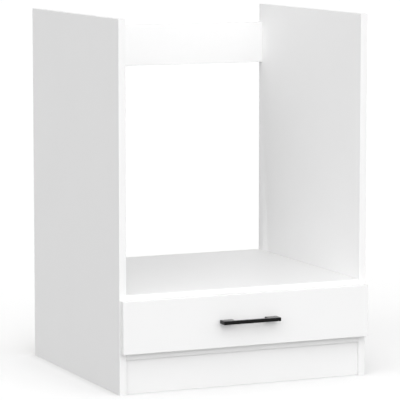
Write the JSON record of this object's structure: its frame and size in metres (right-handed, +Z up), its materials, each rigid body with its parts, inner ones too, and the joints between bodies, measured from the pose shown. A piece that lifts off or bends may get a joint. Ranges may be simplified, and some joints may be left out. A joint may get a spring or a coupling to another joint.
{
  "type": "oven base cabinet",
  "caption": "Free-standing kitchen base cabinet with an open niche for a built-in oven above a shallow drawer on roller runners with a black bar handle.",
  "frame": {"origin": "on the floor, under the middle of the whole cabinet's box, the handle included", "axes": "+Z up, +Y towards the wall, so that the drawer faces -Y, and +X to the right seen from the front"},
  "size_m": [0.6, 0.578, 0.82],
  "materials": {
    "white_board": "white melamine faced chipboard with matching edging, satin with a very fine texture",
    "white_front": "white laminated board with matching edging, satin",
    "white_hardboard": "thin hardboard, painted white on its good face",
    "white_steel": "sheet steel, white powder coat",
    "white_nylon": "moulded nylon, matt",
    "bright_steel": "zinc plated steel",
    "cast_zinc": "die cast zinc, dull",
    "beech": "fluted beech, raw",
    "matt_black": "matt black powder coat"
  },
  "bodies": {
    "cabinet": {"side_panel_left": "white_board", "side_panel_right": "white_board", "bottom_panel": "white_board", "oven_shelf": "white_board", "back_rail": "white_board", "plinth_board": "white_board", "lower_back_panel": "white_hardboard", "back_panel_tacks": "bright_steel", "carcass_cams": "cast_zinc", "carcass_bolts": "bright_steel", "carcass_dowels": "beech", "plinth_brackets": "bright_steel", "plinth_bracket_screws": "bright_steel", "cabinet_runner_left": "white_steel", "cabinet_runner_right": "white_steel", "cabinet_runner_screws": "bright_steel", "cabinet_roller_pins": "bright_steel"},
    "cabinet_roller_left": {"cabinet_roller_left": "white_nylon"},
    "cabinet_roller_right": {"cabinet_roller_right": "white_nylon"},
    "drawer": {"drawer_front": "white_front", "drawer_side_left": "white_board", "drawer_side_right": "white_board", "drawer_back": "white_board", "drawer_bottom": "white_hardboard", "drawer_runner_left": "white_steel", "drawer_runner_right": "white_steel", "drawer_runner_screws": "bright_steel", "drawer_roller_pins": "bright_steel", "front_cams": "cast_zinc", "front_bolts": "bright_steel", "front_dowels": "beech", "drawer_box_screws": "bright_steel", "drawer_bottom_screws": "bright_steel", "handle": "matt_black", "handle_screws": "bright_steel"},
    "drawer_roller_left": {"drawer_roller_left": "white_nylon"},
    "drawer_roller_right": {"drawer_roller_right": "white_nylon"}
  },
  "joints": [
    {"name": "drawer_slide", "type": "slide", "parent": "cabinet", "child": "drawer", "axis": [0, -1, 0], "range_m": [0, 0.37]},
    {"name": "cabinet_roller_left_turn", "type": "hinge", "parent": "cabinet", "child": "cabinet_roller_left", "pos_m": [-0.278, -0.23, 0.1113], "axis": [1, 0, 0], "range_deg": [0, 2240]},
    {"name": "cabinet_roller_right_turn", "type": "hinge", "parent": "cabinet", "child": "cabinet_roller_right", "pos_m": [0.278, -0.23, 0.1113], "axis": [1, 0, 0], "range_deg": [0, 2240]},
    {"name": "drawer_roller_left_turn", "type": "hinge", "parent": "drawer", "child": "drawer_roller_left", "pos_m": [-0.278, 0.2451, 0.1109], "axis": [1, 0, 0], "range_deg": [0, 2240]},
    {"name": "drawer_roller_right_turn", "type": "hinge", "parent": "drawer", "child": "drawer_roller_right", "pos_m": [0.278, 0.2451, 0.1109], "axis": [1, 0, 0], "range_deg": [0, 2240]}
  ],
  "couplings": [
    {"joint": "cabinet_roller_left_turn", "follows": "drawer_slide", "rad_per_m": 105.26},
    {"joint": "cabinet_roller_right_turn", "follows": "drawer_slide", "rad_per_m": 105.26},
    {"joint": "drawer_roller_left_turn", "follows": "drawer_slide", "rad_per_m": 105.26},
    {"joint": "drawer_roller_right_turn", "follows": "drawer_slide", "rad_per_m": 105.26}
  ]
}
